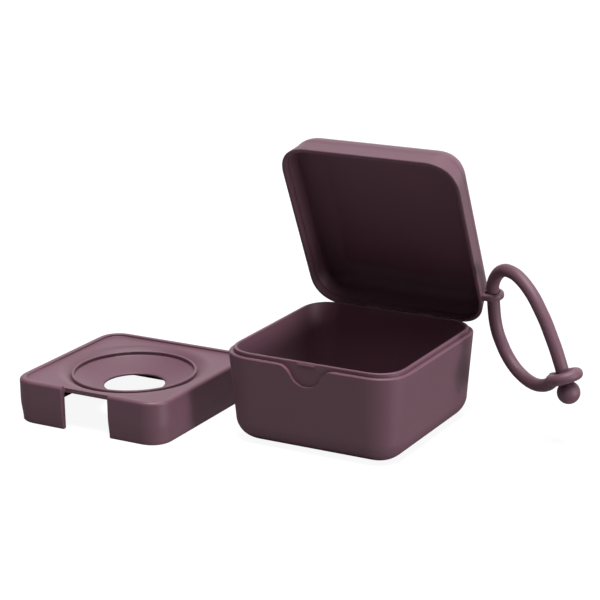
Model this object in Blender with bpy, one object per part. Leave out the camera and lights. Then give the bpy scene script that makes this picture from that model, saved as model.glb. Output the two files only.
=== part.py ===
"""Square pacifier box: base, hinged lid with an eyelet, steriliser insert and a looped strap.

Metres, +Z up. The origin is the centre of the base's underside; the front, with the thumb
scoop, faces -Y. The lid is drawn closed about its hinge axis and stands open by the angle
of an empty on that axis. The insert stands on the same table to the left of the box.
"""

import math

import bpy
import bmesh
from mathutils import Matrix, Vector

MM = 0.001

# Base shell, outer plan taken at the shoulder
BASE_WIDTH = 76.0 * MM
BASE_LENGTH = 77.6 * MM
BASE_CORNER = 14.3 * MM
SHOULDER_HEIGHT = 35.46 * MM
LIP_HEIGHT = 1.5 * MM
LIP_INSET = 1.8 * MM
LIP_THICKNESS = 1.3 * MM
BASE_DRAFT = 2.15 * MM
BASE_FOOT_RADIUS = 9.4 * MM
WALL = 2.0 * MM
EDGE_RADIUS = 0.4 * MM

# Thumb scoop and latch tab on the front
SCOOP_HALF_WIDTH = 12.6 * MM
SCOOP_DEPTH = 8.0 * MM
TAB_WIDTH = 7.4 * MM
TAB_DEPTH = 0.35 * MM

# Lid shell, closed
LID_OVER_WIDTH = 0.6 * MM
LID_OVER_LENGTH = 0.3 * MM
LID_WIDTH = BASE_WIDTH + LID_OVER_WIDTH
LID_LENGTH = BASE_LENGTH + LID_OVER_LENGTH
LID_CORNER = 13.4 * MM
LID_DEPTH = 17.4 * MM
LID_SEAT_GAP = 0.34 * MM
LID_TOP_RADIUS = 10.36 * MM
LID_DRAFT = 1.68 * MM
RIM_WIDTH = 1.45 * MM
REBATE_DEPTH = 2.6 * MM
LEDGE = 0.6 * MM

# Hinge across the back
HINGE_BEHIND = 0.3 * MM
HINGE_Y = BASE_LENGTH / 2 + HINGE_BEHIND
HINGE_Z = 33.85 * MM
BARREL_RADIUS = 1.9 * MM
BARREL_HALF_LENGTH = 9.0 * MM
STUB_RADIUS = 0.9 * MM
LUG_RADIUS = 2.2 * MM
LUG_LENGTH = 5.0 * MM
GAP = 0.35 * MM
OPEN_ANGLE = math.radians(66.1)

# Eyelet on the lid's right wall, placed from the hinge axis with the lid closed
EYE_FORWARD = 13.2 * MM
EYE_ABOVE = 6.3 * MM
EYE_OUT = 3.1 * MM
EYE_SIDE = LID_WIDTH / 2 + EYE_OUT
EYE_TILT = math.radians(15.0)
EYE_BAND = 1.45 * MM

# Insert: a tray that stands on its skirt, with a ring and a dished hole in the middle
INSERT_X = -87.8 * MM
INSERT_Y = -21.4 * MM
INSERT_WIDTH = 69.8 * MM
INSERT_LENGTH = 70.4 * MM
INSERT_CORNER = 10.1 * MM
INSERT_HEIGHT = 17.6 * MM
INSERT_TAPER = 0.8 * MM
INSERT_EDGE = 1.26 * MM
SKIRT = 2.6 * MM
PLATE_DROP = 1.0 * MM
PLATE_THICKNESS = 1.8 * MM
RING_RADIUS = 25.2 * MM
RING_WIDTH = 1.2 * MM
RING_TOP = 15.8 * MM
RING_FOOT = 14.3 * MM
HOLE_RADIUS = 12.2 * MM
HOLE_HEIGHT = 10.4 * MM
HOLE_EDGE = 1.0 * MM
NOTCH_HALF_WIDTH = 10.9 * MM

# Strap: a silicone cord with a ball at one end and a ring at the other
CORD_RADIUS = 2.55 * MM
CORD_GAP = 0.3 * MM
BALL_RADIUS = 4.45 * MM
RING_TUBE = 2.2 * MM

# Where the cord runs, in millimetres from the origin: from the ring's side, under and up
# through the eyelet, over the top and down through the ring to the ball
STRAP_ROUTE_MM = (
    (74.4, 23.2, 24.2), (72.3, 24.9, 21.5), (69.6, 26.9, 19.5), (66.3, 29.0, 18.2),
    (62.8, 31.2, 17.6), (58.3, 33.9, 18.1), (53.7, 36.5, 19.8), (50.1, 38.3, 22.3),
    (47.1, 39.6, 25.5), (44.8, 40.5, 29.0), (42.9, 40.9, 33.1), (41.8, 40.8, 37.9),
    (41.4, 40.3, 43.4), (41.4, 39.51, 48.47), (41.4, 38.93, 52.2), (43.0, 37.3, 55.9),
    (46.1, 34.5, 59.5), (49.7, 31.8, 61.5),
    (53.0, 29.6, 61.8), (56.0, 27.8, 61.4), (59.7, 25.8, 59.7), (63.3, 24.1, 57.0),
    (66.2, 22.8, 54.0), (69.0, 21.7, 50.2), (71.4, 20.9, 46.5), (73.8, 20.1, 42.0),
    (76.1, 19.5, 37.3), (77.8, 19.1, 33.2), (79.2, 18.85, 29.5), (80.6, 18.6, 25.7),
)
BALL_DROP = 6.1 * MM

# Form of the soft corners, fineness of the outlines and parts of a length
CORNER_POWER = 2.33
CORNER_STEPS = 9
SIDE_STEPS = 4
ROUND_STEPS = 48
SLOPE_SHARE = 0.85
RISE_SHARE = 0.92
BEVEL_SHARE = 0.6
MOST_INSET_SHARE = 0.9
CORD_SPACING = 5.2 * MM
SHARP = math.radians(40.0)


def clear_scene():
    """Remove what the scene holds."""
    for obj in list(bpy.data.objects):
        bpy.data.objects.remove(obj, do_unlink=True)


def material(name, colour, roughness):
    """Matte plastic or silicone of one colour."""
    mat = bpy.data.materials.new(name)
    mat.use_nodes = True
    shader = mat.node_tree.nodes["Principled BSDF"]
    shader.inputs["Base Color"].default_value = (*colour, 1.0)
    shader.inputs["Roughness"].default_value = roughness
    shader.inputs["Metallic"].default_value = 0.0
    return mat


def finish(bm, name, mat):
    """Turn a bmesh into a smooth shaded object."""
    bmesh.ops.recalc_face_normals(bm, faces=bm.faces)
    mesh = bpy.data.meshes.new(name)
    bm.to_mesh(mesh)
    bm.free()
    mesh.materials.append(mat)
    mesh.shade_smooth()
    mesh.set_sharp_from_angle(angle=SHARP)
    obj = bpy.data.objects.new(name, mesh)
    bpy.context.collection.objects.link(obj)
    return obj


def rounded_square(width, length, corner):
    """Outline of a square with soft corners, anticlockwise from the middle of the right side."""
    half = (width / 2, length / 2)
    points = []
    for quarter in range(4):
        across, along = half if quarter % 2 == 0 else half[::-1]
        turn = Matrix.Rotation(quarter * math.pi / 2, 2)
        run = along - corner
        for step in range(SIDE_STEPS):
            points.append(turn @ Vector((across, run * step / SIDE_STEPS)))
        for step in range(CORNER_STEPS + 1):
            angle = step / CORNER_STEPS * math.pi / 2
            x = across - corner + corner * math.cos(angle) ** (2 / CORNER_POWER)
            y = along - corner + corner * math.sin(angle) ** (2 / CORNER_POWER)
            points.append(turn @ Vector((x, y)))
        end = across - corner
        for step in range(1, SIDE_STEPS):
            points.append(turn @ Vector((end * (1 - step / SIDE_STEPS), along)))
    return points


def square_rings(width, length, corner, profile):
    """Rings of a shell from a profile of insets and heights."""
    rings = []
    for inset, height in profile:
        rest = corner - min(inset, corner * MOST_INSET_SHARE)
        outline = rounded_square(width - 2 * inset, length - 2 * inset, rest)
        rings.append([Vector((p.x, p.y, height)) for p in outline])
    return rings


def arc(centre, radius, start, end, steps):
    """Points of an arc, angles in degrees."""
    points = []
    for step in range(steps + 1):
        angle = math.radians(start + (end - start) * step / steps)
        points.append((centre[0] + radius * math.cos(angle), centre[1] + radius * math.sin(angle)))
    return points


def loft(bm, rings, closed=False):
    """Skin the rings in turn, with a face at each end, or round to the first ring."""
    rows = [[bm.verts.new(p) for p in ring] for ring in rings]
    pairs = list(zip(rows, rows[1:]))
    if closed:
        pairs.append((rows[-1], rows[0]))
    else:
        bm.faces.new(rows[0])
        bm.faces.new(rows[-1])
    for lower, upper in pairs:
        for i, vert in enumerate(lower):
            after = (i + 1) % len(lower)
            bm.faces.new((vert, lower[after], upper[after], upper[i]))


def prism(outline, start, end, name, mat, axis="X"):
    """A closed outline swept along an axis; it lies in the YZ plane for X and in XZ for Y."""
    bm = bmesh.new()
    if axis == "X":
        verts = [bm.verts.new((start, a, b)) for a, b in outline]
        way = Vector((end - start, 0, 0))
    else:
        verts = [bm.verts.new((a, start, b)) for a, b in outline]
        way = Vector((0, end - start, 0))
    face = bm.faces.new(verts)
    extruded = bmesh.ops.extrude_face_region(bm, geom=[face])
    moved = [v for v in extruded["geom"] if isinstance(v, bmesh.types.BMVert)]
    bmesh.ops.translate(bm, verts=moved, vec=way)
    return finish(bm, name, mat)


def rod(centre_y, centre_z, radius, start, end, name, mat, steps=24):
    """A round bar along X."""
    outline = arc((centre_y, centre_z), radius, 0, 360 - 360 / steps, steps - 1)
    return prism(outline, start, end, name, mat)


def combine(obj, other, operation):
    """Boolean of two objects; the second one is used up."""
    modifier = obj.modifiers.new(operation.title(), "BOOLEAN")
    modifier.operation = operation
    modifier.solver = "EXACT"
    modifier.object = other
    bpy.context.view_layer.update()
    shape = bpy.data.meshes.new_from_object(obj.evaluated_get(bpy.context.evaluated_depsgraph_get()))
    obj.modifiers.clear()
    shape.shade_smooth()
    shape.set_sharp_from_angle(angle=SHARP)
    obj.data = shape
    bpy.data.objects.remove(other, do_unlink=True)


def base_profile():
    """Insets and heights from the flat foot up the outside, over the lip and down inside."""
    foot = BASE_DRAFT + BASE_FOOT_RADIUS
    inner = LIP_INSET + LIP_THICKNESS
    top = SHOULDER_HEIGHT + LIP_HEIGHT
    inner_radius = BASE_FOOT_RADIUS - WALL
    profile = arc((foot, BASE_FOOT_RADIUS), BASE_FOOT_RADIUS, 270, 180, 7)
    profile += arc((EDGE_RADIUS, SHOULDER_HEIGHT - EDGE_RADIUS), EDGE_RADIUS, 180, 90, 2)
    profile.append((LIP_INSET, SHOULDER_HEIGHT))
    profile += arc((LIP_INSET + EDGE_RADIUS, top - EDGE_RADIUS), EDGE_RADIUS, 180, 90, 2)
    profile += arc((inner - EDGE_RADIUS, top - EDGE_RADIUS), EDGE_RADIUS, 90, 0, 2)
    corner = (inner + BASE_DRAFT / 2 + inner_radius, WALL + inner_radius)
    profile += arc(corner, inner_radius, 180, 270, 6)
    return profile


def scoop_outline():
    """The scoop's edge: a round bottom that turns into soft shoulders at the wall's top."""
    reach = (SCOOP_HALF_WIDTH ** 2 + SCOOP_DEPTH ** 2) / (2 * SCOOP_DEPTH)
    radius = reach / 2
    bend = math.degrees(math.asin(SCOOP_HALF_WIDTH / reach))
    low = SHOULDER_HEIGHT - SCOOP_DEPTH + radius
    high = SHOULDER_HEIGHT - radius
    left = arc((-SCOOP_HALF_WIDTH, high), radius, 90, 90 - bend, 5)
    bottom = arc((0, low), radius, 270 - bend, 270 + bend, 12)[1:-1]
    right = arc((SCOOP_HALF_WIDTH, high), radius, 90 + bend, 90, 5)
    over = SHOULDER_HEIGHT + LIP_HEIGHT
    return left + bottom + right + [(SCOOP_HALF_WIDTH, over), (-SCOOP_HALF_WIDTH, over)]


def make_base(mat):
    """Base shell with its lip, scoop, latch tab and hinge lugs."""
    bm = bmesh.new()
    loft(bm, square_rings(BASE_WIDTH, BASE_LENGTH, BASE_CORNER, base_profile()))
    base = finish(bm, "base_shell", mat)
    lip_face = -BASE_LENGTH / 2 + LIP_INSET
    combine(base, prism(scoop_outline(), -BASE_LENGTH, lip_face, "scoop", mat, "Y"), "DIFFERENCE")

    top = SHOULDER_HEIGHT + LIP_HEIGHT
    foot = SHOULDER_HEIGHT + GAP
    tab = [(lip_face + EDGE_RADIUS, foot), (lip_face - TAB_DEPTH, foot),
           (lip_face - TAB_DEPTH, foot + TAB_DEPTH), (lip_face + EDGE_RADIUS, top)]
    combine(base, prism(tab, -TAB_WIDTH / 2, TAB_WIDTH / 2, "tab", mat), "UNION")

    recess = BARREL_HALF_LENGTH + GAP
    barrel_space = rod(HINGE_Y, HINGE_Z, BARREL_RADIUS + GAP, -recess, recess, "recess", mat)
    combine(base, barrel_space, "DIFFERENCE")
    for side in (-1, 1):
        wall = BASE_LENGTH / 2 - LIP_INSET / 2
        lug = arc((HINGE_Y, HINGE_Z), LUG_RADIUS, -35, 125, 12)
        lug += [(wall, HINGE_Z + LUG_RADIUS / 2), (wall, HINGE_Z - 4 * LUG_RADIUS)]
        ends = (side * recess, side * (recess + LUG_LENGTH))
        combine(base, prism(lug, min(ends), max(ends), "lug", mat), "UNION")
        bore = rod(HINGE_Y, HINGE_Z, STUB_RADIUS + GAP, min(ends) - GAP, max(ends) + GAP, "bore", mat)
        combine(base, bore, "DIFFERENCE")
    return base


def lid_profile():
    """Insets and heights above the hinge, from the flat top down the outside to the inside."""
    rim = SHOULDER_HEIGHT + LID_SEAT_GAP - HINGE_Z
    top = rim + LID_DEPTH
    crown = LID_DRAFT + LID_TOP_RADIUS
    inner = RIM_WIDTH + LEDGE
    inner_radius = LID_TOP_RADIUS - WALL
    profile = arc((crown, top - LID_TOP_RADIUS), LID_TOP_RADIUS, 90, 180, 7)
    profile += arc((EDGE_RADIUS, rim + EDGE_RADIUS), EDGE_RADIUS, 180, 270, 2)
    profile.append((RIM_WIDTH, rim))
    profile.append((RIM_WIDTH, rim + REBATE_DEPTH))
    profile.append((inner, rim + REBATE_DEPTH + LEDGE))
    corner = (inner + LID_DRAFT / 2 + inner_radius, top - WALL - inner_radius)
    profile += arc(corner, inner_radius, 180, 90, 6)
    return profile


def eyelet_frame():
    """The eyelet's centre and the direction of its hole, both with the lid closed."""
    centre = Vector((EYE_SIDE, -EYE_FORWARD, EYE_ABOVE))
    hole = Vector((0, -math.cos(EYE_TILT), math.sin(EYE_TILT)))
    return centre, hole


def eyelet_outline(radius, wall):
    """Half a circle closed by two legs that run into the wall; X is away from the wall."""
    points = arc((0, 0), radius, -90, 90, 16)
    return points + [(wall, radius), (wall, -radius)]


def eyelet(mat, radius, wall, depth, name):
    """The eyelet's slab, or its hole, in the lid's frame."""
    centre, hole = eyelet_frame()
    out = Vector((1, 0, 0))
    side = hole.cross(out)
    bm = bmesh.new()
    verts = [bm.verts.new(centre + out * a + side * b - hole * depth) for a, b in eyelet_outline(radius, wall)]
    face = bm.faces.new(verts)
    extruded = bmesh.ops.extrude_face_region(bm, geom=[face])
    moved = [v for v in extruded["geom"] if isinstance(v, bmesh.types.BMVert)]
    bmesh.ops.translate(bm, verts=moved, vec=hole * depth * 2)
    return finish(bm, name, mat)


def make_lid(mat):
    """Lid shell with its rebate, hinge barrel and eyelet, drawn closed about the hinge axis."""
    bm = bmesh.new()
    rings = square_rings(LID_WIDTH, LID_LENGTH, LID_CORNER, lid_profile())
    loft(bm, [[Vector((p.x, p.y - HINGE_Y, p.z)) for p in ring] for ring in rings])
    lid = finish(bm, "lid_shell", mat)

    rim = SHOULDER_HEIGHT + LID_SEAT_GAP - HINGE_Z
    recess = BARREL_HALF_LENGTH + GAP
    for side in (-1, 1):
        ends = (side * (recess - GAP), side * (recess + LUG_LENGTH + GAP))
        combine(lid, rod(0, 0, LUG_RADIUS + GAP, min(ends), max(ends), "relief", mat), "DIFFERENCE")

    back = LID_LENGTH / 2 - HINGE_Y
    front = -STUB_RADIUS / 4
    root = back - RIM_WIDTH / 2
    web = [(front, 0), (BARREL_RADIUS, 0), (BARREL_RADIUS, rim + GAP), (0, rim + REBATE_DEPTH),
           (root, rim + REBATE_DEPTH), (root, rim + GAP / 2), (front, rim)]
    combine(lid, prism(web, -BARREL_HALF_LENGTH, BARREL_HALF_LENGTH, "web", mat), "UNION")
    barrel = rod(0, 0, BARREL_RADIUS, -BARREL_HALF_LENGTH, BARREL_HALF_LENGTH, "barrel", mat)
    combine(lid, barrel, "UNION")
    reach = recess + LUG_LENGTH
    combine(lid, rod(0, 0, STUB_RADIUS, -reach, reach, "stubs", mat, 16), "UNION")

    hole_radius = CORD_RADIUS + CORD_GAP
    wall_in = LID_WIDTH / 2 - EYE_SIDE - RIM_WIDTH / 2
    slab = eyelet(mat, hole_radius + EYE_BAND, wall_in, EYE_BAND, "slab")
    bevel_edges(slab, EYE_BAND * BEVEL_SHARE)
    combine(lid, slab, "UNION")
    wall_out = LID_WIDTH / 2 - EYE_SIDE + GAP
    combine(lid, eyelet(mat, hole_radius, wall_out, EYE_BAND * 2, "hole"), "DIFFERENCE")
    return lid


def bevel_edges(obj, width):
    """Round an object's edges."""
    bm = bmesh.new()
    bm.from_mesh(obj.data)
    edges = [e for e in bm.edges if e.calc_face_angle(0) > math.radians(50)]
    bmesh.ops.bevel(bm, geom=edges, offset=width, segments=3, profile=0.5, affect="EDGES", material=-1)
    bm.to_mesh(obj.data)
    bm.free()


def circle_ring(radius, height, outline):
    """A circle whose points match those of an outline by their direction."""
    ring = []
    for p in outline:
        way = p.normalized()
        ring.append(Vector((way.x * radius, way.y * radius, height)))
    return ring


def dish_height(radius):
    """Height of the dish, a bowl that flattens towards the hole."""
    outer = RING_RADIUS - RING_WIDTH
    share = (radius ** 2 - HOLE_RADIUS ** 2) / (outer ** 2 - HOLE_RADIUS ** 2)
    return HOLE_HEIGHT + (RING_FOOT - HOLE_HEIGHT) * share


def dish_under(radius):
    """Height of the dish's underside, which comes closer to the dish towards the hole."""
    share = (radius - HOLE_RADIUS) / (RING_RADIUS - RING_WIDTH - HOLE_RADIUS)
    return dish_height(radius) - HOLE_EDGE - (PLATE_THICKNESS - HOLE_EDGE) * share


def insert_rings():
    """Rings of the insert's whole skin, from the skirt's foot outside round to its foot inside."""
    plate = INSERT_HEIGHT - PLATE_DROP
    middle = INSERT_HEIGHT / 2
    under = plate - PLATE_THICKNESS
    outside = [(INSERT_TAPER, 0), (INSERT_TAPER / 3, middle / 2), (0, middle)]
    outside += arc((INSERT_EDGE, INSERT_HEIGHT - INSERT_EDGE), INSERT_EDGE, 180, 90, 3)
    soft = EDGE_RADIUS
    outside += [(SKIRT - soft, INSERT_HEIGHT), (SKIRT, INSERT_HEIGHT - soft), (SKIRT, plate + soft / 2),
                (SKIRT + soft, plate)]
    rings = square_rings(INSERT_WIDTH, INSERT_LENGTH, INSERT_CORNER, outside)
    outline = rounded_square(INSERT_WIDTH, INSERT_LENGTH, INSERT_CORNER)
    slope = (min(INSERT_WIDTH, INSERT_LENGTH) / 2 - SKIRT - EDGE_RADIUS - RING_RADIUS) * SLOPE_SHARE
    rise = plate - RING_FOOT
    slope_steps = 3
    for step in range(slope_steps, -1, -1):
        share = step / slope_steps
        lift = RING_FOOT + rise * RISE_SHARE * math.sin(share * math.pi / 2)
        rings.append(circle_ring(RING_RADIUS + slope * share, lift, outline))
    outer = RING_RADIUS - RING_WIDTH
    rings.append(circle_ring(RING_RADIUS, RING_TOP - soft, outline))
    rings.append(circle_ring(RING_RADIUS - soft, RING_TOP, outline))
    rings.append(circle_ring(outer + soft, RING_TOP, outline))
    rings.append(circle_ring(outer, RING_TOP - soft, outline))
    steps = 5
    for step in range(steps + 1):
        radius = outer + (HOLE_RADIUS - outer) * step / steps
        rings.append(circle_ring(radius, dish_height(radius), outline))
    for step in range(steps, -1, -1):
        radius = outer + (HOLE_RADIUS - outer) * step / steps
        rings.append(circle_ring(radius, dish_under(radius), outline))
    rings.append(circle_ring(RING_RADIUS + slope, under, outline))
    inside = [(SKIRT + soft, under), (SKIRT, under - soft), (SKIRT, 0)]
    rings += square_rings(INSERT_WIDTH, INSERT_LENGTH, INSERT_CORNER, inside)
    return rings


def make_insert(mat):
    """Insert tray: skirt, rim, plate, ring and dish, with the notch cut in the front wall."""
    bm = bmesh.new()
    loft(bm, insert_rings(), closed=True)
    insert = finish(bm, "insert_tray", mat)
    low = -INSERT_HEIGHT
    high = 2 * INSERT_HEIGHT
    notch = [(-NOTCH_HALF_WIDTH, low), (NOTCH_HALF_WIDTH, low),
             (NOTCH_HALF_WIDTH, high), (-NOTCH_HALF_WIDTH, high)]
    edge = -INSERT_LENGTH / 2 + SKIRT + EDGE_RADIUS
    cutter = prism(notch, -INSERT_LENGTH, edge, "notch", mat, "Y")
    combine(insert, cutter, "DIFFERENCE")
    insert.location = (INSERT_X, INSERT_Y, 0)
    return insert


def smooth_route(points, spacing):
    """Points at an even spacing along a smooth curve through the route's points."""
    dense = []
    steps = 12
    padded = [points[0] * 2 - points[1], *points, points[-1] * 2 - points[-2]]
    for a, b, c, d in zip(padded, padded[1:], padded[2:], padded[3:]):
        for step in range(steps):
            t = step / steps
            dense.append(0.5 * (2 * b + (c - a) * t + (2 * a - 5 * b + 4 * c - d) * t ** 2
                                + (3 * b - a - 3 * c + d) * t ** 3))
    dense.append(points[-1])
    total = sum((q - p).length for p, q in zip(dense, dense[1:]))
    count = round(total / spacing)
    even = [dense[0]]
    walked = 0.0
    for p, q in zip(dense, dense[1:]):
        walked += (q - p).length
        if walked >= total * len(even) / count and len(even) < count:
            even.append(q)
    return [*even, dense[-1]]


def make_strap(mat, pivot):
    """Cord, ring and ball of the strap, turning about the eyelet's hole."""
    route = smooth_route([Vector(p) * MM - pivot for p in STRAP_ROUTE_MM], CORD_SPACING)
    curve = bpy.data.curves.new("strap_cord", "CURVE")
    curve.dimensions = "3D"
    curve.bevel_depth = CORD_RADIUS
    curve.bevel_resolution = 3
    curve.use_fill_caps = True
    spline = curve.splines.new("POLY")
    spline.points.add(len(route) - 1)
    for point, place in zip(spline.points, route):
        point.co = (*place, 1.0)
    curve.materials.append(mat)
    cord = bpy.data.objects.new("strap_cord", curve)
    bpy.context.collection.objects.link(cord)

    hole = CORD_RADIUS + CORD_GAP
    axis = (route[-1] - route[-2]).normalized()
    turn = axis.to_track_quat("Z", "X").to_matrix().to_4x4()
    ring_centre = route[-1] - axis * (BALL_DROP - BALL_RADIUS - CORD_GAP)
    centre = Matrix.Translation(ring_centre) @ turn
    bm = bmesh.new()
    section = arc((hole + RING_TUBE, 0), RING_TUBE, 0, 330, 11)
    verts = [bm.verts.new((r, 0, z)) for r, z in section]
    edges = [bm.edges.new((verts[i], verts[(i + 1) % len(verts)])) for i in range(len(verts))]
    bmesh.ops.spin(bm, geom=verts + edges, axis=(0, 0, 1), cent=(0, 0, 0), angle=math.tau,
                   steps=ROUND_STEPS, use_merge=True)
    bmesh.ops.transform(bm, matrix=centre, verts=bm.verts)
    ring = finish(bm, "strap_ring", mat)

    bm = bmesh.new()
    bmesh.ops.create_uvsphere(bm, u_segments=24, v_segments=16, radius=BALL_RADIUS)
    bmesh.ops.translate(bm, verts=bm.verts, vec=ring_centre + axis * BALL_DROP)
    ball = finish(bm, "strap_ball", mat)
    for obj in (cord, ring, ball):
        obj.location = pivot
    return cord, ring, ball


def build():
    """Model the whole object."""
    clear_scene()
    plastic = material("dusty_plum_plastic", (0.235, 0.135, 0.165), 0.62)
    silicone = material("dusty_plum_silicone", (0.235, 0.135, 0.165), 0.5)
    hinge = bpy.data.objects.new("lid_hinge", None)
    bpy.context.collection.objects.link(hinge)
    hinge.location = (0, HINGE_Y, HINGE_Z)
    hinge.rotation_euler.x = -OPEN_ANGLE
    make_base(plastic)
    make_lid(plastic).parent = hinge
    make_insert(plastic)
    centre, _ = eyelet_frame()
    pivot = Vector(hinge.location) + Matrix.Rotation(-OPEN_ANGLE, 3, "X") @ centre
    make_strap(silicone, pivot)


if __name__ == "__main__":
    build()
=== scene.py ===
"""Looks of the pacifier box: finely rounded shells, the strap, matte materials and the studio."""

import math

import bmesh
import bpy
from bpy.props import FloatProperty, FloatVectorProperty, PointerProperty
from mathutils import Matrix, Vector


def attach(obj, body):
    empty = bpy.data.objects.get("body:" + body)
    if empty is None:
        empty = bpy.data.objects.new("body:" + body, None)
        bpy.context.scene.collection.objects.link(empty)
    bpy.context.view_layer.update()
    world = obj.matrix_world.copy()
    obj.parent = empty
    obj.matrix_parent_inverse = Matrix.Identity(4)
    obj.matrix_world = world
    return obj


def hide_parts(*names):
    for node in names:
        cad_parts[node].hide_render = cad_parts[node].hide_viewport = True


bl_info = {
    "name": "Pacifier box looks",
    "version": (1, 0, 0),
    "blender": (4, 5, 0),
    "location": "View3D > Sidebar > Pacifier Box",
    "description": "Dresses the pacifier box and sets up its studio view",
    "category": "Object",
}

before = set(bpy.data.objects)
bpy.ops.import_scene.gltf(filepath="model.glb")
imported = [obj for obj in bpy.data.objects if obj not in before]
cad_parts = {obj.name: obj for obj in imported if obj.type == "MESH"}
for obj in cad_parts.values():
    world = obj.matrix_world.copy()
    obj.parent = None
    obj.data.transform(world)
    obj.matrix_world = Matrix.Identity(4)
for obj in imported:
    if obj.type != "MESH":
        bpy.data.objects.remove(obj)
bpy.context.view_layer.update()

MM = 0.001

# Stretches of every rounded square outline, and of every arc in a shell's profile
CORNER_POWER = 2.33
CORNER_STEPS = 18
SIDE_STEPS = 9
ARC_STEPS = 10
CIRCLE_STEPS = 96

# The cord's route in metres, from the ring's side through the eyelet and down to the ball
STRAP_ROUTE = (
    (0.0744, 0.0232, 0.0242), (0.0723, 0.0249, 0.0215), (0.0696, 0.0269, 0.0195), (0.0663, 0.0290, 0.0182),
    (0.0628, 0.0312, 0.0176), (0.0583, 0.0339, 0.0181), (0.0537, 0.0365, 0.0198), (0.0501, 0.0383, 0.0223),
    (0.0471, 0.0396, 0.0255), (0.0448, 0.0405, 0.0290), (0.0429, 0.0409, 0.0331), (0.0418, 0.0408, 0.0379),
    (0.0414, 0.0403, 0.0434), (0.0414, 0.03951, 0.04847), (0.0414, 0.03893, 0.0522), (0.0430, 0.0373, 0.0559),
    (0.0461, 0.0345, 0.0595), (0.0497, 0.0318, 0.0615), (0.0530, 0.0296, 0.0618), (0.0560, 0.0278, 0.0614),
    (0.0597, 0.0258, 0.0597), (0.0633, 0.0241, 0.0570), (0.0662, 0.0228, 0.0540), (0.0690, 0.0217, 0.0502),
    (0.0714, 0.0209, 0.0465), (0.0738, 0.0201, 0.0420), (0.0761, 0.0195, 0.0373), (0.0778, 0.0191, 0.0332),
    (0.0792, 0.01885, 0.0295), (0.0806, 0.0186, 0.0257),
)

# The photograph's camera, solved from the outlines of the box, the lid and the insert
CAMERA_PLACE = Vector((0.3486, -0.6593, 0.2774))
CAMERA_RIGHT = Vector((0.8729, 0.4877, -0.0128))
CAMERA_UP = Vector((-0.1307, 0.2590, 0.9570))
CAMERA_LENS = 121.67
CAMERA_SENSOR = 36.0


def length(name, text, millimetres):
    """A property that holds a length in metres."""
    return FloatProperty(name=name, description=text, default=millimetres * MM, unit="LENGTH", precision=5)


class BaseSizes(bpy.types.PropertyGroup):
    """Sizes of the base shell."""

    width: length("Width", "Outer width at the shoulder", 76.0)
    depth: length("Length", "Outer length at the shoulder", 77.6)
    corner: length("Corner", "Radius of the plan's corners", 14.3)
    shoulder: length("Shoulder", "Height of the shoulder", 35.46)
    lip: length("Lip height", "How far the lip stands above the shoulder", 1.5)
    lip_inset: length("Lip inset", "From the outer wall to the lip", 1.8)
    lip_wall: length("Lip thickness", "Thickness of the lip", 1.3)
    groove: length("Groove", "Depth of the fine groove at the lip's foot", 0.35)
    draft: length("Draft", "How far each wall leans in towards the foot", 2.15)
    foot: length("Foot radius", "Radius between wall and underside", 9.4)
    wall: length("Wall", "Thickness of the floor and walls", 2.0)
    edge: length("Edge radius", "Radius of the fine edges", 0.45)
    scoop_half: length("Scoop half width", "Half the width of the thumb scoop", 12.6)
    scoop_depth: length("Scoop depth", "Depth of the thumb scoop", 8.0)
    tab_width: length("Tab width", "Width of the latch tab", 7.4)
    tab_depth: length("Tab depth", "How far the latch tab stands out", 0.35)


class LidSizes(bpy.types.PropertyGroup):
    """Sizes of the lid, drawn closed about its hinge axis."""

    width: length("Width", "Outer width at the rim", 76.6)
    depth: length("Length", "Outer length at the rim", 77.9)
    corner: length("Corner", "Radius of the plan's corners", 13.4)
    height: length("Depth", "From the rim to the top", 17.4)
    rim_height: length("Rim height", "Height of the rim when closed", 35.8)
    top_radius: length("Top radius", "Radius between wall and top", 10.36)
    draft: length("Draft", "How far each wall leans in towards the top", 1.68)
    wall: length("Wall", "Thickness of the top", 2.0)
    rim: length("Rim width", "Width of the rim's face", 1.45)
    rebate: length("Rebate depth", "Depth of the rebate that takes the lip", 2.6)
    ledge: length("Ledge", "Width of the rebate's ledge", 0.6)
    edge: length("Edge radius", "Radius of the fine edges", 0.4)
    hinge_y: length("Hinge back", "Hinge axis behind the middle", 39.1)
    hinge_z: length("Hinge height", "Hinge axis above the table", 33.85)
    barrel: length("Barrel radius", "Radius of the hinge barrel", 1.9)
    barrel_half: length("Barrel half length", "Half the length of the barrel", 9.0)
    stub: length("Stub radius", "Radius of the moulded pivots", 0.9)
    lug: length("Lug radius", "Radius of the base's lugs", 2.2)
    lug_length: length("Lug length", "Length of each lug", 5.0)
    gap: length("Gap", "Clearance around the hinge", 0.35)
    open_angle: FloatProperty(name="Opening", description="How far the lid stands open", subtype="ANGLE",
                              default=math.radians(66.1))
    eye_forward: length("Eyelet forward", "Eyelet in front of the hinge axis", 13.2)
    eye_above: length("Eyelet above", "Eyelet above the hinge axis", 6.3)
    eye_side: length("Eyelet side", "Eyelet right of the middle", 41.4)
    eye_hole: length("Eyelet hole", "Radius of the eyelet's hole", 2.85)
    eye_band: length("Eyelet band", "Half the band's height and its width", 1.45)
    eye_tilt: FloatProperty(name="Eyelet tilt", description="Tilt of the eyelet's hole", subtype="ANGLE",
                            default=math.radians(15.0))


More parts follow.
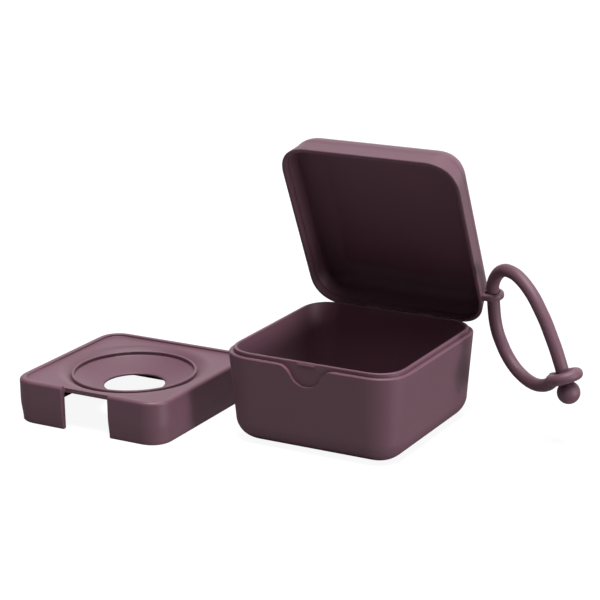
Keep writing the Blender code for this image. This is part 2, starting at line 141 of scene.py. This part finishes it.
class InsertSizes(bpy.types.PropertyGroup):
    """Sizes of the steriliser insert."""

    x: length("Place X", "Centre along X", -87.8)
    y: length("Place Y", "Centre along Y", -21.4)
    width: length("Width", "Outer width", 69.8)
    depth: length("Length", "Outer length", 70.4)
    corner: length("Corner", "Radius of the plan's corners", 10.1)
    height: length("Height", "Height of the rim", 17.6)
    taper: length("Taper", "How far the skirt leans in at its foot", 0.8)
    edge: length("Edge radius", "Radius of the rim's outer edge", 1.26)
    fine: length("Fine radius", "Radius of the fine edges", 0.4)
    skirt: length("Skirt", "Thickness of the skirt", 2.6)
    drop: length("Plate drop", "From the rim down to the plate", 1.0)
    plate: length("Plate", "Thickness of the plate", 1.8)
    ring: length("Ring radius", "Outer radius of the ring's lip", 25.2)
    ring_width: length("Ring width", "Width of the ring's lip", 1.2)
    ring_top: length("Ring top", "Height of the ring's lip", 15.8)
    ring_foot: length("Ring foot", "Height of the plate at the ring", 14.3)
    hole: length("Hole radius", "Radius of the hole", 12.2)
    hole_height: length("Hole height", "Height of the hole's edge", 10.4)
    hole_edge: length("Hole edge", "Thickness of the dish at the hole", 1.0)
    notch_half: length("Notch half width", "Half the width of the front notch", 10.9)


class StrapSizes(bpy.types.PropertyGroup):
    """Sizes of the silicone strap."""

    cord: length("Cord radius", "Radius of the cord", 2.55)
    gap: length("Gap", "Clearance between cord, ring and ball", 0.3)
    ball: length("Ball radius", "Radius of the ball", 4.45)
    ring_tube: length("Ring tube", "Radius of the ring's section", 2.2)
    ball_drop: length("Ball drop", "From the ring's centre to the ball's", 6.1)
    step: length("Step", "Spacing of the points along the cord", 1.6)


class FinishLook(bpy.types.PropertyGroup):
    """Colour and surface of the plastic and the silicone."""

    plastic: FloatVectorProperty(name="Plastic", description="Colour of the moulded plastic", subtype="COLOR",
                                 size=3, default=(0.112, 0.046, 0.068), min=0.0, max=1.0)
    silicone: FloatVectorProperty(name="Silicone", description="Colour of the strap", subtype="COLOR",
                                  size=3, default=(0.112, 0.047, 0.069), min=0.0, max=1.0)
    plastic_rough: FloatProperty(name="Plastic roughness", description="Roughness of the plastic",
                                 default=0.50, min=0.0, max=1.0)
    silicone_rough: FloatProperty(name="Silicone roughness", description="Roughness of the strap",
                                  default=0.56, min=0.0, max=1.0)
    grain: length("Grain", "Height of the fine moulded grain", 0.012)


class StudioLook(bpy.types.PropertyGroup):
    """Light and backdrop."""

    floor: FloatProperty(name="Floor", description="Half the side of the floor", default=3.0, unit="LENGTH")
    floor_colour: FloatVectorProperty(name="Floor colour", description="Colour of the floor", subtype="COLOR",
                                      size=3, default=(0.12, 0.12, 0.12), min=0.0, max=1.0)
    bounce: FloatProperty(name="Bounce", description="Share of light that the floor throws back", default=0.45,
                          min=0.0, max=1.0)
    paper: FloatProperty(name="Paper", description="Brightness that the floor shows of itself", default=0.92, min=0.0)
    fill: FloatProperty(name="Fill", description="Light from all round", default=0.0, min=0.0)
    glow: FloatProperty(name="Glow", description="Brightness that glossy surfaces mirror", default=1.3, min=0.0)
    key: FloatProperty(name="Key", description="Strength of the light above", default=5.0, min=0.0)
    side: FloatProperty(name="Side", description="Strength of the light from the right", default=2.3, min=0.0)
    front: FloatProperty(name="Front", description="Strength of the light from the front", default=0.25, min=0.0)


class Wire:
    """A shader value that can be added, multiplied and mixed."""

    def __init__(self, tree, socket):
        self.tree = tree
        self.socket = socket

    def math(self, operation, other, flip=False):
        """One Math node between this value and another."""
        values = (other, self) if flip else (self, other)
        return self.tree.node("ShaderNodeMath", {"operation": operation}, {0: values[0], 1: values[1]}).out("Value")

    def __add__(self, other):
        return self.math("ADD", other)

    __radd__ = __add__

    def __sub__(self, other):
        return self.math("SUBTRACT", other)

    def __rsub__(self, other):
        return self.math("SUBTRACT", other, flip=True)

    def __mul__(self, other):
        return self.math("MULTIPLY", other)

    __rmul__ = __mul__


class Made:
    """A node whose outputs are taken by name."""

    def __init__(self, tree, node):
        self.tree = tree
        self.node = node

    def out(self, name):
        """An output as a wire."""
        return Wire(self.tree, self.node.outputs[name])


class Tree:
    """Builds a node tree."""

    def __init__(self, owner):
        owner.use_nodes = True
        self.tree = owner.node_tree
        self.tree.nodes.clear()

    def node(self, kind, settings=None, sockets=None):
        """A node with its settings and the values or wires of its inputs."""
        node = self.tree.nodes.new(kind)
        for name, value in (settings or {}).items():
            setattr(node, name, value)
        for name, value in (sockets or {}).items():
            if isinstance(value, Wire):
                self.tree.links.new(value.socket, node.inputs[name])
            else:
                node.inputs[name].default_value = value
        return Made(self, node)


def moulded(name, colour, roughness, grain, mottle_scale, grain_scale):
    """Matte moulded material: faint clouding, uneven roughness and a fine grain."""
    mat = bpy.data.materials.new(name)
    tree = Tree(mat)
    place = tree.node("ShaderNodeTexCoord").out("Object")
    cloud = tree.node("ShaderNodeTexNoise", None, {"Vector": place, "Scale": mottle_scale, "Detail": 3.0})
    fine = tree.node("ShaderNodeTexNoise", None, {"Vector": place, "Scale": grain_scale, "Detail": 2.0})
    pits = tree.node("ShaderNodeTexVoronoi", None, {"Vector": place, "Scale": grain_scale * 0.6})
    shade = tree.node("ShaderNodeMix", {"data_type": "RGBA"},
                      {"Factor": cloud.out("Fac"), "A": (*[c * 0.94 for c in colour], 1.0),
                       "B": (*[c * 1.06 for c in colour], 1.0)})
    shade = Wire(tree, shade.node.outputs[2])
    rough = roughness - 0.05 + 0.06 * cloud.out("Fac") + 0.05 * fine.out("Fac")
    height = 0.7 * fine.out("Fac") + 0.3 * pits.out("Distance")
    bump = tree.node("ShaderNodeBump", None, {"Strength": 0.35, "Distance": grain, "Height": height})
    body = tree.node("ShaderNodeBsdfPrincipled", None,
                     {"Base Color": shade, "Roughness": rough, "Normal": bump.out("Normal"),
                      "Specular IOR Level": 0.5, "Sheen Weight": 0.05, "Sheen Roughness": 0.5,
                      "Sheen Tint": (1.0, 0.86, 0.92, 1.0)})
    tree.node("ShaderNodeOutputMaterial", None, {"Surface": body.out("BSDF")})
    return mat


def plastic_material():
    """The dusty plum plastic, made once."""
    look = bpy.context.scene.box_finish
    found = bpy.data.materials.get("frosted_plum_plastic")
    return found or moulded("frosted_plum_plastic", look.plastic, look.plastic_rough, look.grain, 45.0, 2600.0)


def silicone_material():
    """The dusty plum silicone, made once."""
    look = bpy.context.scene.box_finish
    found = bpy.data.materials.get("soft_plum_silicone")
    return found or moulded("soft_plum_silicone", look.silicone, look.silicone_rough, look.grain, 70.0, 3400.0)


def rounded_square(width, depth, corner):
    """Outline of a square with soft corners, anticlockwise from the middle of the right side."""
    half = (width / 2, depth / 2)
    points = []
    for quarter in range(4):
        across, along = (half, half[::-1])[quarter % 2]
        turn = Matrix.Rotation(quarter * math.pi / 2, 2)
        for step in range(SIDE_STEPS):
            points.append(turn @ Vector((across, (along - corner) * step / SIDE_STEPS)))
        for step in range(CORNER_STEPS + 1):
            angle = step / CORNER_STEPS * math.pi / 2
            x = across - corner + corner * math.cos(angle) ** (2 / CORNER_POWER)
            y = along - corner + corner * math.sin(angle) ** (2 / CORNER_POWER)
            points.append(turn @ Vector((x, y)))
        for step in range(1, SIDE_STEPS):
            points.append(turn @ Vector(((across - corner) * (1 - step / SIDE_STEPS), along)))
    return points


def arc(centre, radius, start, end, steps=ARC_STEPS):
    """Points of an arc, angles in degrees."""
    points = []
    for step in range(steps + 1):
        angle = math.radians(start + (end - start) * step / steps)
        points.append((centre[0] + radius * math.cos(angle), centre[1] + radius * math.sin(angle)))
    return points


def square_rings(width, depth, corner, profile):
    """Rings of a shell from a profile of insets and heights."""
    rings = []
    for inset, height in profile:
        outline = rounded_square(width - 2 * inset, depth - 2 * inset, corner - min(inset, corner * 0.9))
        rings.append([Vector((p.x, p.y, height)) for p in outline])
    return rings


def circle_ring(radius, height, outline):
    """A circle whose points match an outline's by their direction."""
    return [Vector((*(p.normalized() * radius), height)) for p in outline]


def skin(rings, closed=False):
    """Skin rings by extruding the first one again and again, then close the ends or the loop."""
    bm = bmesh.new()
    row = [bm.verts.new(p) for p in rings[0]]
    edges = [bm.edges.new((a, b)) for a, b in zip(row, row[1:] + row[:1])]
    first = edges
    if not closed:
        bmesh.ops.edgeloop_fill(bm, edges=edges)
    for ring in rings[1:]:
        made = bmesh.ops.extrude_edge_only(bm, edges=edges)["geom"]
        edges = [e for e in made if isinstance(e, bmesh.types.BMEdge)]
        fresh = {v.co.to_tuple(): v for v in made if isinstance(v, bmesh.types.BMVert)}
        row = [fresh[v.co.to_tuple()] for v in row]
        for vert, place in zip(row, ring):
            vert.co = place
    if closed:
        bmesh.ops.bridge_loops(bm, edges=edges + first)
    else:
        bmesh.ops.edgeloop_fill(bm, edges=edges)
    bmesh.ops.recalc_face_normals(bm, faces=bm.faces)
    return bm


def prism(outline, place, way):
    """A flat outline, put in place point by point, and swept along a way."""
    bm = bmesh.new()
    verts = [bm.verts.new(place(a, b)) for a, b in outline]
    face = bm.faces.new(verts)
    made = bmesh.ops.extrude_face_region(bm, geom=[face])["geom"]
    bmesh.ops.translate(bm, verts=[v for v in made if isinstance(v, bmesh.types.BMVert)], vec=way)
    bmesh.ops.recalc_face_normals(bm, faces=bm.faces)
    return bm


def bar(radius, start, end, y=0.0, z=0.0, steps=48):
    """A round bar along X."""
    outline = arc((y, z), radius, 0, 360 - 360 / steps, steps - 1)
    return prism(outline, lambda a, b: (start, a, b), Vector((end - start, 0, 0)))


def to_object(bm, name, mat=None):
    """An object that takes over a bmesh."""
    mesh = bpy.data.meshes.new(name)
    bm.to_mesh(mesh)
    bm.free()
    if mat:
        mesh.materials.append(mat)
    obj = bpy.data.objects.new(name, mesh)
    bpy.context.collection.objects.link(obj)
    return obj


def bake(obj):
    """Turn an object's modifiers into its mesh."""
    bpy.context.view_layer.update()
    shape = bpy.data.meshes.new_from_object(obj.evaluated_get(bpy.context.evaluated_depsgraph_get()))
    obj.modifiers.clear()
    obj.data = shape


def combine(obj, bm, operation):
    """Boolean of an object with a bmesh, applied."""
    cutter = to_object(bm, "cutter")
    modifier = obj.modifiers.new(operation.title(), "BOOLEAN")
    modifier.operation = operation
    modifier.solver = "EXACT"
    modifier.object = cutter
    bake(obj)
    bpy.data.objects.remove(cutter, do_unlink=True)


def round_off(obj, width, angle=50.0, segments=3):
    """Round the sharp edges and shade the result from its larger faces."""
    bevel = obj.modifiers.new("Fine edges", "BEVEL")
    bevel.width = width
    bevel.segments = segments
    bevel.limit_method = "ANGLE"
    bevel.angle_limit = math.radians(angle)
    bevel.use_clamp_overlap = True
    bevel.miter_outer = "MITER_ARC"
    bake(obj)
    obj.data.shade_smooth()
    obj.data.set_sharp_from_angle(angle=math.radians(50.0))
    weighted = obj.modifiers.new("Even shading", "WEIGHTED_NORMAL")
    weighted.keep_sharp = True
    weighted.weight = 80


def scoop_outline(s):
    """The scoop's edge: a round bottom that turns into soft shoulders at the wall's top."""
    reach = (s.scoop_half ** 2 + s.scoop_depth ** 2) / (2 * s.scoop_depth)
    radius = reach / 2
    bend = math.degrees(math.asin(s.scoop_half / reach))
    low = s.shoulder - s.scoop_depth + radius
    high = s.shoulder - radius
    left = arc((-s.scoop_half, high), radius, 90, 90 - bend)
    bottom = arc((0, low), radius, 270 - bend, 270 + bend, 24)[1:-1]
    right = arc((s.scoop_half, high), radius, 90 + bend, 90)
    over = s.shoulder + s.lip
    return left + bottom + right + [(s.scoop_half, over), (-s.scoop_half, over)]


def base_profile(s):
    """Insets and heights from the flat foot up the outside, over the lip and down inside."""
    foot = s.draft + s.foot
    inner = s.lip_inset + s.lip_wall
    top = s.shoulder + s.lip
    inner_radius = s.foot - s.wall
    groove = s.groove
    profile = arc((foot, s.foot), s.foot, 270, 180, 16)
    profile += arc((s.edge * 1.4, s.shoulder - s.edge * 1.4), s.edge * 1.4, 180, 90, 5)
    profile += [(s.lip_inset - groove, s.shoulder), (s.lip_inset - groove * 0.7, s.shoulder - groove),
                (s.lip_inset, s.shoulder - groove)]
    profile += arc((s.lip_inset + s.edge, top - s.edge), s.edge, 180, 90, 4)
    profile += arc((inner - s.edge, top - s.edge), s.edge, 90, 0, 4)
    corner = (inner + s.draft / 2 + inner_radius, s.wall + inner_radius)
    profile += arc(corner, inner_radius, 180, 270, 14)
    return profile


def make_base(s, lid):
    """Base shell with scoop, latch tab and hinge lugs."""
    obj = to_object(skin(square_rings(s.width, s.depth, s.corner, base_profile(s))), "base_skin",
                    plastic_material())
    face = -s.depth / 2 + s.lip_inset
    scoop = prism(scoop_outline(s), lambda a, b: (a, -s.depth, b), Vector((0, s.depth + face, 0)))
    combine(obj, scoop, "DIFFERENCE")
    top = s.shoulder + s.lip
    low = s.shoulder + lid.gap
    tab = [(face + s.edge, low), (face - s.tab_depth, low), (face - s.tab_depth, low + s.tab_depth / 2),
           (face + s.edge / 2, top)]
    combine(obj, prism(tab, lambda a, b: (-s.tab_width / 2, a, b), Vector((s.tab_width, 0, 0))), "UNION")
    recess = lid.barrel_half + lid.gap
    space = bar(lid.barrel + lid.gap, -recess, recess, lid.hinge_y, lid.hinge_z)
    combine(obj, space, "DIFFERENCE")
    for side in (-1, 1):
        wall = s.depth / 2 - s.lip_inset / 2
        lug = arc((lid.hinge_y, lid.hinge_z), lid.lug, -35, 125, 24)
        lug += [(wall, lid.hinge_z + lid.lug / 2), (wall, lid.hinge_z - 4 * lid.lug)]
        start, end = sorted((side * recess, side * (recess + lid.lug_length)))
        combine(obj, prism(lug, lambda a, b: (start, a, b), Vector((end - start, 0, 0))), "UNION")
        bore = bar(lid.stub + lid.gap, start - lid.gap, end + lid.gap, lid.hinge_y, lid.hinge_z)
        combine(obj, bore, "DIFFERENCE")
    round_off(obj, 0.28 * MM)
    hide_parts("base_shell")
    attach(obj, "box")
    return obj


def lid_profile(s):
    """Insets and heights above the hinge, from the flat top down the outside to the inside."""
    rim = s.rim_height - s.hinge_z
    top = rim + s.height
    inner = s.rim + s.ledge
    inner_radius = s.top_radius - s.wall
    profile = arc((s.draft + s.top_radius, top - s.top_radius), s.top_radius, 90, 180, 16)
    profile += arc((s.edge, rim + s.edge), s.edge, 180, 270, 4)
    profile += arc((s.rim - s.edge / 2, rim + s.edge / 2), s.edge / 2, 270, 360, 3)
    profile += [(s.rim, rim + s.rebate), (inner - s.edge / 2, rim + s.rebate),
                (inner, rim + s.rebate + s.edge / 2)]
    corner = (inner + s.draft / 2 + inner_radius, top - s.wall - inner_radius)
    profile += arc(corner, inner_radius, 180, 90, 14)
    return profile


def eyelet_slab(s, radius, wall, depth):
    """Half a disc with two legs that run to the wall, swept along the eyelet's hole."""
    centre = Vector((s.eye_side, -s.eye_forward, s.eye_above))
    hole = Vector((0, -math.cos(s.eye_tilt), math.sin(s.eye_tilt)))
    out = Vector((1, 0, 0))
    side = hole.cross(out)
    outline = arc((0, 0), radius, -90, 90, 40) + [(wall, radius), (wall, -radius)]
    return prism(outline, lambda a, b: centre + out * a + side * b - hole * depth, hole * depth * 2)


def make_lid(s):
    """Lid shell with rebate, hinge barrel and eyelet, opened about the hinge axis."""
    rings = square_rings(s.width, s.depth, s.corner, lid_profile(s))
    shift = Vector((0, -s.hinge_y, 0))
    obj = to_object(skin([[p + shift for p in ring] for ring in rings]), "lid_skin", plastic_material())
    recess = s.barrel_half + s.gap
    for side in (-1, 1):
        start, end = sorted((side * (recess - s.gap), side * (recess + s.lug_length + s.gap)))
        combine(obj, bar(s.lug + s.gap, start, end), "DIFFERENCE")
    rim = s.rim_height - s.hinge_z
    back = s.depth / 2 - s.hinge_y
    heel = -s.stub / 4
    web = [(heel, 0), (s.barrel, 0), (s.barrel, rim + s.gap), (0, rim + s.rebate),
           (back - s.rim / 2, rim + s.rebate), (back - s.rim / 2, rim + s.gap / 2), (heel, rim)]
    combine(obj, prism(web, lambda a, b: (-s.barrel_half, a, b), Vector((2 * s.barrel_half, 0, 0))), "UNION")
    combine(obj, bar(s.barrel, -s.barrel_half, s.barrel_half), "UNION")
    reach = recess + s.lug_length
    combine(obj, bar(s.stub, -reach, reach), "UNION")
    slab = eyelet_slab(s, s.eye_hole + s.eye_band, s.width / 2 - s.eye_side - s.rim / 2, s.eye_band)
    edges = [e for e in slab.edges if e.calc_face_angle(0) > math.radians(50)]
    bmesh.ops.bevel(slab, geom=edges, offset=s.eye_band * 0.72, segments=6, profile=0.5, affect="EDGES",
                    material=-1)
    combine(obj, slab, "UNION")
    hole = eyelet_slab(s, s.eye_hole, s.width / 2 - s.eye_side + s.gap, s.eye_band * 2)
    combine(obj, hole, "DIFFERENCE")
    round_off(obj, 0.25 * MM)
    turn = Matrix.Translation((0, s.hinge_y, s.hinge_z)) @ Matrix.Rotation(-s.open_angle, 4, "X")
    obj.data.transform(turn)
    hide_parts("lid_shell")
    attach(obj, "lid")
    return obj


def dish_height(s, radius):
    """Height of the dish, a bowl that flattens towards the hole."""
    outer = s.ring - s.ring_width
    share = (radius ** 2 - s.hole ** 2) / (outer ** 2 - s.hole ** 2)
    return s.hole_height + (s.ring_foot - s.hole_height) * share


def insert_rings(s):
    """Rings of the insert's whole skin, from the skirt's foot outside round to its foot inside."""
    plate = s.height - s.drop
    middle = s.height / 2
    fine = s.fine
    outside = [(s.taper + fine, 0), (s.taper, fine)]
    outside += [(s.taper * (0.5 + 0.5 * math.cos(math.pi * t / 5)), middle * t / 5) for t in range(1, 5)]
    outside += [(0, middle)]
    outside += arc((s.edge, s.height - s.edge), s.edge, 180, 90, 6)
    outside += arc((s.skirt - fine, s.height - fine), fine, 90, 0, 3)
    outside += arc((s.skirt + fine, plate + fine), fine, 180, 270, 3)
    rings = square_rings(s.width, s.depth, s.corner, outside)
    outline = rounded_square(s.width, s.depth, s.corner)
    slope = (min(s.width, s.depth) / 2 - s.skirt - s.fine - s.ring) * 0.85
    rise = plate - s.ring_foot
    for step in range(8, -1, -1):
        share = step / 8
        lift = s.ring_foot + rise * 0.97 * math.sin(share * math.pi / 2)
        rings.append(circle_ring(s.ring + slope * share, lift, outline))
    outer = s.ring - s.ring_width
    for inset, height in arc((fine, s.ring_top - fine), fine, 180, 90, 4):
        rings.append(circle_ring(s.ring - inset, height, outline))
    for inset, height in arc((s.ring_width - fine, s.ring_top - fine), fine, 90, 0, 4):
        rings.append(circle_ring(s.ring - inset, height, outline))
    steps = 14
    span = s.hole - outer
    for step in range(steps):
        radius = outer + span * step / steps
        rings.append(circle_ring(radius, dish_height(s, radius), outline))
    edge = s.hole_edge / 2
    for out, height in arc((edge, s.hole_height - edge), edge, 90, 270, 8):
        rings.append(circle_ring(s.hole + out, height, outline))
    for step in range(steps - 1, -1, -1):
        radius = outer + span * step / steps
        thick = s.hole_edge + (s.plate - s.hole_edge) * (radius - s.hole) / (outer - s.hole)
        rings.append(circle_ring(radius, dish_height(s, radius) - thick, outline))
    rings.append(circle_ring(s.ring + slope, plate - s.plate, outline))
    inside = [(s.skirt + fine, plate - s.plate), (s.skirt, plate - s.plate - fine), (s.skirt, fine),
              (s.skirt - fine, 0)]
    return rings + square_rings(s.width, s.depth, s.corner, inside)


def make_insert(s):
    """Insert tray with its ring, dish and front notch."""
    obj = to_object(skin(insert_rings(s), closed=True), "insert_skin", plastic_material())
    half = s.notch_half
    notch = [(-half, -s.height), (half, -s.height), (half, 2 * s.height), (-half, 2 * s.height)]
    edge = -s.depth / 2 + s.skirt + s.fine
    combine(obj, prism(notch, lambda a, b: (a, -s.depth, b), Vector((0, s.depth + edge, 0))), "DIFFERENCE")
    round_off(obj, 0.35 * MM, 60.0)
    obj.data.transform(Matrix.Translation((s.x, s.y, 0)))
    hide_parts("insert_tray")
    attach(obj, "insert")
    return obj


def smooth_route(points, spacing):
    """Evenly spaced points along a smooth curve through the route's points."""
    dense = []
    steps = 24
    padded = [points[0] * 2 - points[1], *points, points[-1] * 2 - points[-2]]
    for a, b, c, d in zip(padded, padded[1:], padded[2:], padded[3:]):
        for step in range(steps):
            t = step / steps
            dense.append(0.5 * (2 * b + (c - a) * t + (2 * a - 5 * b + 4 * c - d) * t ** 2
                                + (3 * b - a - 3 * c + d) * t ** 3))
    dense.append(points[-1])
    total = sum((q - p).length for p, q in zip(dense, dense[1:]))
    count = round(total / spacing)
    even = [dense[0]]
    walked = 0.0
    for p, q in zip(dense, dense[1:]):
        walked += (q - p).length
        if walked >= total * len(even) / count and len(even) < count:
            even.append(q)
    return [*even, dense[-1]], total


def make_strap(s):
    """Cord, ring and ball of the strap."""
    route, total = smooth_route([Vector(p) for p in STRAP_ROUTE], s.step)
    curve = bpy.data.curves.new("strap_cord_skin", "CURVE")
    curve.dimensions = "3D"
    curve.bevel_depth = s.cord
    curve.bevel_resolution = 10
    curve.use_fill_caps = True
    spline = curve.splines.new("POLY")
    spline.points.add(len(route) - 1)
    spline.use_smooth = True
    for point, place in zip(spline.points, route):
        point.co = (*place, 1.0)
    curve.materials.append(silicone_material())
    cord = bpy.data.objects.new("strap_cord_skin", curve)
    bpy.context.collection.objects.link(cord)

    axis = (route[-1] - route[-2]).normalized()
    centre = route[-1] - axis * (s.ball_drop - s.ball - s.gap)
    turn = axis.to_track_quat("Z", "X").to_matrix().to_4x4()
    bm = bmesh.new()
    hole = s.cord + s.gap
    section = arc((hole + s.ring_tube, 0), s.ring_tube, 0, 345, 23)
    verts = [bm.verts.new((r, 0, z)) for r, z in section]
    edges = [bm.edges.new((a, b)) for a, b in zip(verts, verts[1:] + verts[:1])]
    bmesh.ops.spin(bm, geom=verts + edges, axis=(0, 0, 1), cent=(0, 0, 0), angle=math.tau,
                   steps=CIRCLE_STEPS, use_merge=True)
    bmesh.ops.recalc_face_normals(bm, faces=bm.faces)
    bmesh.ops.transform(bm, matrix=Matrix.Translation(centre) @ turn, verts=bm.verts)
    ring = to_object(bm, "strap_ring_skin", silicone_material())
    ring.data.shade_smooth()

    bm = bmesh.new()
    bmesh.ops.create_icosphere(bm, subdivisions=5, radius=s.ball)
    bmesh.ops.translate(bm, verts=bm.verts, vec=centre + axis * s.ball_drop)
    ball = to_object(bm, "strap_ball_skin", silicone_material())
    ball.data.shade_smooth()
    for piece, node in ((cord, "strap_cord"), (ring, "strap_ring"), (ball, "strap_ball")):
        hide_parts(node)
        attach(piece, "strap")
    return cord


def soft_sun(name, way, strength, spread):
    """A soft distant light that comes from one way."""
    light = bpy.data.lights.new(name, "SUN")
    light.energy = strength
    light.angle = math.radians(spread)
    obj = bpy.data.objects.new(name, light)
    bpy.context.collection.objects.link(obj)
    obj.rotation_euler = Vector(way).to_track_quat("Z", "Y").to_euler()
    return obj


def make_studio(s):
    """White floor and surroundings, soft lights and the photograph's camera."""
    bm = bmesh.new()
    bmesh.ops.create_grid(bm, x_segments=8, y_segments=8, size=s.floor)
    floor = to_object(bm, "floor")
    mat = bpy.data.materials.new("studio_floor")
    tree = Tree(mat)
    place = tree.node("ShaderNodeTexCoord").out("Object")
    cloud = tree.node("ShaderNodeTexNoise", None, {"Vector": place, "Scale": 3.0}).out("Fac")
    ray = tree.node("ShaderNodeLightPath")
    seen = ray.out("Is Camera Ray")
    shown = tree.node("ShaderNodeBsdfPrincipled", None,
                      {"Base Color": (*s.floor_colour, 1.0), "Roughness": 0.9 + 0.1 * cloud,
                       "Specular IOR Level": 0.0, "Emission Color": seen, "Emission Strength": s.paper})
    bouncing = tree.node("ShaderNodeBsdfDiffuse", None, {"Color": (s.bounce, s.bounce, s.bounce, 1.0)})
    mixed = tree.node("ShaderNodeMixShader", None, {"Fac": ray.out("Is Diffuse Ray")})
    tree.tree.links.new(shown.node.outputs["BSDF"], mixed.node.inputs[1])
    tree.tree.links.new(bouncing.node.outputs["BSDF"], mixed.node.inputs[2])
    tree.node("ShaderNodeOutputMaterial", None, {"Surface": mixed.out("Shader")})
    floor.data.materials.append(mat)

    world = bpy.data.worlds.new("studio")
    bpy.context.scene.world = world
    tree = Tree(world)
    ray = tree.node("ShaderNodeLightPath")
    bright = ray.out("Is Camera Ray") * (1.0 - s.fill) + s.fill
    way = tree.node("ShaderNodeTexCoord").out("Generated")
    away = tree.node("ShaderNodeSeparateXYZ", None, {"Vector": way}).out("Y")
    behind = tree.node("ShaderNodeMapRange", {"interpolation_type": "SMOOTHSTEP"},
                       {"Value": away, "From Min": 0.1, "From Max": 0.9}).out("Result")
    bright = bright + ray.out("Is Glossy Ray") * behind * s.glow
    back = tree.node("ShaderNodeBackground", None, {"Color": (1.0, 1.0, 1.0, 1.0), "Strength": bright})
    tree.node("ShaderNodeOutputWorld", None, {"Surface": back.out("Background")})

    soft_sun("key", (0.12, -0.08, 0.98), s.key, 35.0)
    soft_sun("side", (0.99, -0.06, 0.07), s.side, 12.0)
    soft_sun("front", (-0.10, -0.50, 0.86), s.front, 50.0)

    camera = bpy.data.cameras.new("camera")
    camera.lens = CAMERA_LENS
    camera.sensor_width = CAMERA_SENSOR
    camera.clip_start = 0.01
    camera.clip_end = 20.0
    obj = bpy.data.objects.new("camera", camera)
    bpy.context.collection.objects.link(obj)
    back = CAMERA_RIGHT.cross(CAMERA_UP)
    turn = Matrix((CAMERA_RIGHT, CAMERA_UP, back)).transposed()
    obj.matrix_world = Matrix.Translation(CAMERA_PLACE) @ turn.to_4x4()
    scene = bpy.context.scene
    scene.camera = obj
    scene.view_settings.view_transform = "Standard"


class OBJECT_OT_box_base(bpy.types.Operator):
    """Make the base shell"""

    bl_idname = "object.box_base"
    bl_label = "Base"

    def execute(self, context):
        make_base(context.scene.box_base, context.scene.box_lid)
        return {"FINISHED"}


class OBJECT_OT_box_lid(bpy.types.Operator):
    """Make the lid with its eyelet"""

    bl_idname = "object.box_lid"
    bl_label = "Lid"

    def execute(self, context):
        make_lid(context.scene.box_lid)
        return {"FINISHED"}


class OBJECT_OT_box_insert(bpy.types.Operator):
    """Make the insert"""

    bl_idname = "object.box_insert"
    bl_label = "Insert"

    def execute(self, context):
        make_insert(context.scene.box_insert)
        return {"FINISHED"}


class OBJECT_OT_box_strap(bpy.types.Operator):
    """Make the strap"""

    bl_idname = "object.box_strap"
    bl_label = "Strap"

    def execute(self, context):
        make_strap(context.scene.box_strap)
        return {"FINISHED"}


class OBJECT_OT_box_studio(bpy.types.Operator):
    """Set up floor, light and camera"""

    bl_idname = "object.box_studio"
    bl_label = "Studio"

    def execute(self, context):
        make_studio(context.scene.box_studio)
        return {"FINISHED"}


class VIEW3D_PT_pacifier_box(bpy.types.Panel):
    """Buttons and values of the pacifier box"""

    bl_label = "Pacifier Box"
    bl_space_type = "VIEW_3D"
    bl_region_type = "UI"
    bl_category = "Pacifier Box"

    def draw(self, context):
        for name, operators in PARTS.items():
            box = self.layout.box()
            for operator in operators:
                box.operator(operator)
            group = getattr(context.scene, name)
            for value in group.bl_rna.properties:
                if value.identifier not in {"rna_type", "name"}:
                    box.prop(group, value.identifier)


GROUPS = {
    "box_base": BaseSizes,
    "box_lid": LidSizes,
    "box_insert": InsertSizes,
    "box_strap": StrapSizes,
    "box_finish": FinishLook,
    "box_studio": StudioLook,
}
PARTS = {
    "box_studio": ["object.box_studio"],
    "box_strap": ["object.box_strap"],
    "box_base": ["object.box_base"],
    "box_lid": ["object.box_lid"],
    "box_insert": ["object.box_insert"],
    "box_finish": [],
}
CLASSES = (
    *GROUPS.values(),
    OBJECT_OT_box_base,
    OBJECT_OT_box_lid,
    OBJECT_OT_box_insert,
    OBJECT_OT_box_strap,
    OBJECT_OT_box_studio,
    VIEW3D_PT_pacifier_box,
)


def register():
    """Register the classes and hang the values on the scene."""
    for cls in CLASSES:
        bpy.utils.register_class(cls)
    for name, group in GROUPS.items():
        setattr(bpy.types.Scene, name, PointerProperty(type=group))


def unregister():
    """Take the values and classes away again."""
    for name in GROUPS:
        delattr(bpy.types.Scene, name)
    for cls in reversed(CLASSES):
        bpy.utils.unregister_class(cls)


def main():
    """Make every piece and the studio."""
    register()
    bpy.ops.object.box_studio()
    bpy.ops.object.box_strap()
    bpy.ops.object.box_base()
    bpy.ops.object.box_lid()
    bpy.ops.object.box_insert()


if __name__ == "__main__":
    main()
